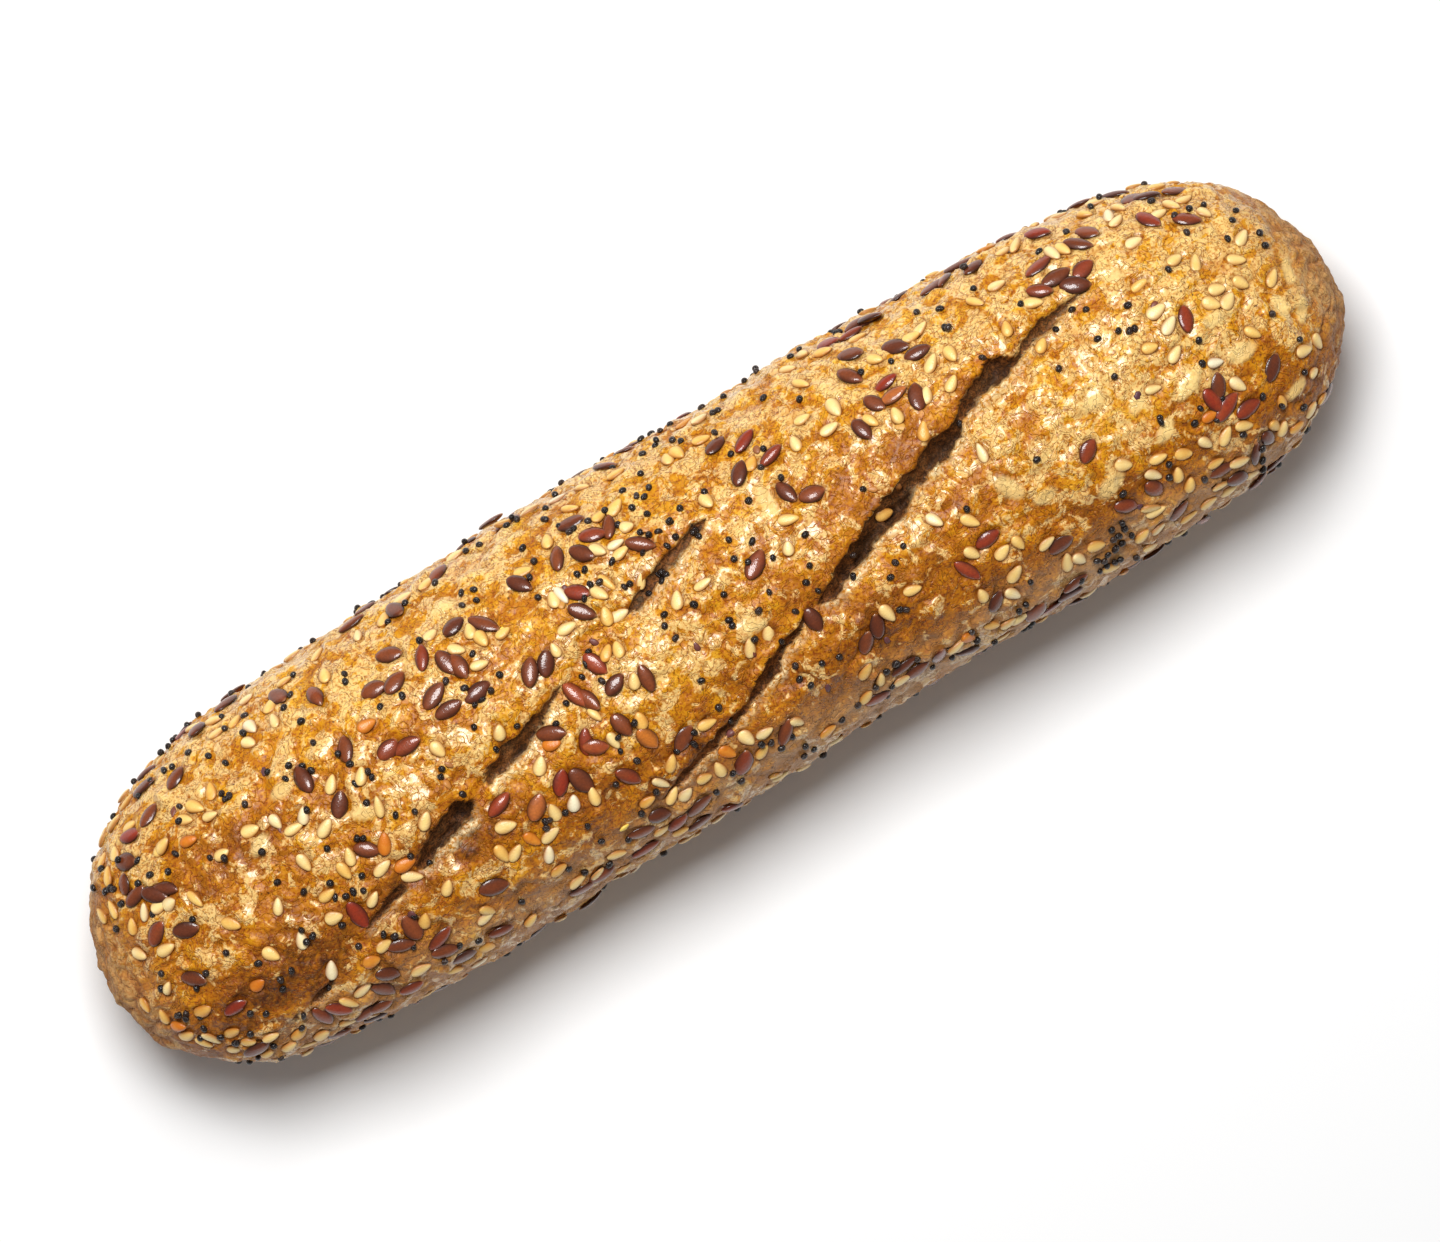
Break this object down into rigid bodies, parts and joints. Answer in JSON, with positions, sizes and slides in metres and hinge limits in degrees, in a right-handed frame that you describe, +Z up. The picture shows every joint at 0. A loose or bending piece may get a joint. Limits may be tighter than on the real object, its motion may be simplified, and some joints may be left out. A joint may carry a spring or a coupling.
{
  "type": "baguette",
  "caption": "Short seeded baguette with blunt rounded ends, a flat base and two long slanting scores, its brown crust strewn with flax, sesame and poppy seeds.",
  "frame": {"origin": "middle of the loaf's footprint, on the surface that its flat base rests on", "axes": "+X along the loaf, towards the end where the first score starts near the +Y side; +Z up, out of the scored crust; +Y across the loaf"},
  "size_m": [0.235, 0.0594, 0.0478],
  "materials": {
    "crust": "satin",
    "flax": "satin",
    "sesame": "satin",
    "poppy": "satin"
  },
  "bodies": {
    "root": {"loaf": "crust", "flax_seed_01": "flax", "flax_seed_02": "flax", "flax_seed_03": "flax", "flax_seed_04": "flax", "flax_seed_05": "flax", "flax_seed_06": "flax", "flax_seed_07": "flax", "flax_seed_08": "flax", "flax_seed_09": "flax", "flax_seed_10": "flax", "flax_seed_11": "flax", "flax_seed_12": "flax", "flax_seed_13": "flax", "flax_seed_14": "flax", "flax_seed_15": "flax", "flax_seed_16": "flax", "flax_seed_17": "flax", "flax_seed_18": "flax", "flax_seed_19": "flax", "flax_seed_20": "flax", "flax_seed_21": "flax", "flax_seed_22": "flax", "flax_seed_23": "flax", "flax_seed_24": "flax", "flax_seed_25": "flax", "flax_seed_26": "flax", "flax_seed_27": "flax", "flax_seed_28": "flax", "flax_seed_29": "flax", "flax_seed_30": "flax", "flax_seed_31": "flax", "flax_seed_32": "flax", "flax_seed_33": "flax", "flax_seed_34": "flax", "flax_seed_35": "flax", "flax_seed_36": "flax", "sesame_seed_01": "sesame", "sesame_seed_02": "sesame", "sesame_seed_03": "sesame", "sesame_seed_04": "sesame", "sesame_seed_05": "sesame", "sesame_seed_06": "sesame", "sesame_seed_07": "sesame", "sesame_seed_08": "sesame", "sesame_seed_09": "sesame", "sesame_seed_10": "sesame", "sesame_seed_11": "sesame", "sesame_seed_12": "sesame", "sesame_seed_13": "sesame", "sesame_seed_14": "sesame", "sesame_seed_15": "sesame", "sesame_seed_16": "sesame", "sesame_seed_17": "sesame", "poppy_seed_01": "poppy", "poppy_seed_02": "poppy", "poppy_seed_03": "poppy", "poppy_seed_04": "poppy", "poppy_seed_05": "poppy", "poppy_seed_06": "poppy"}
  },
  "joints": []
}
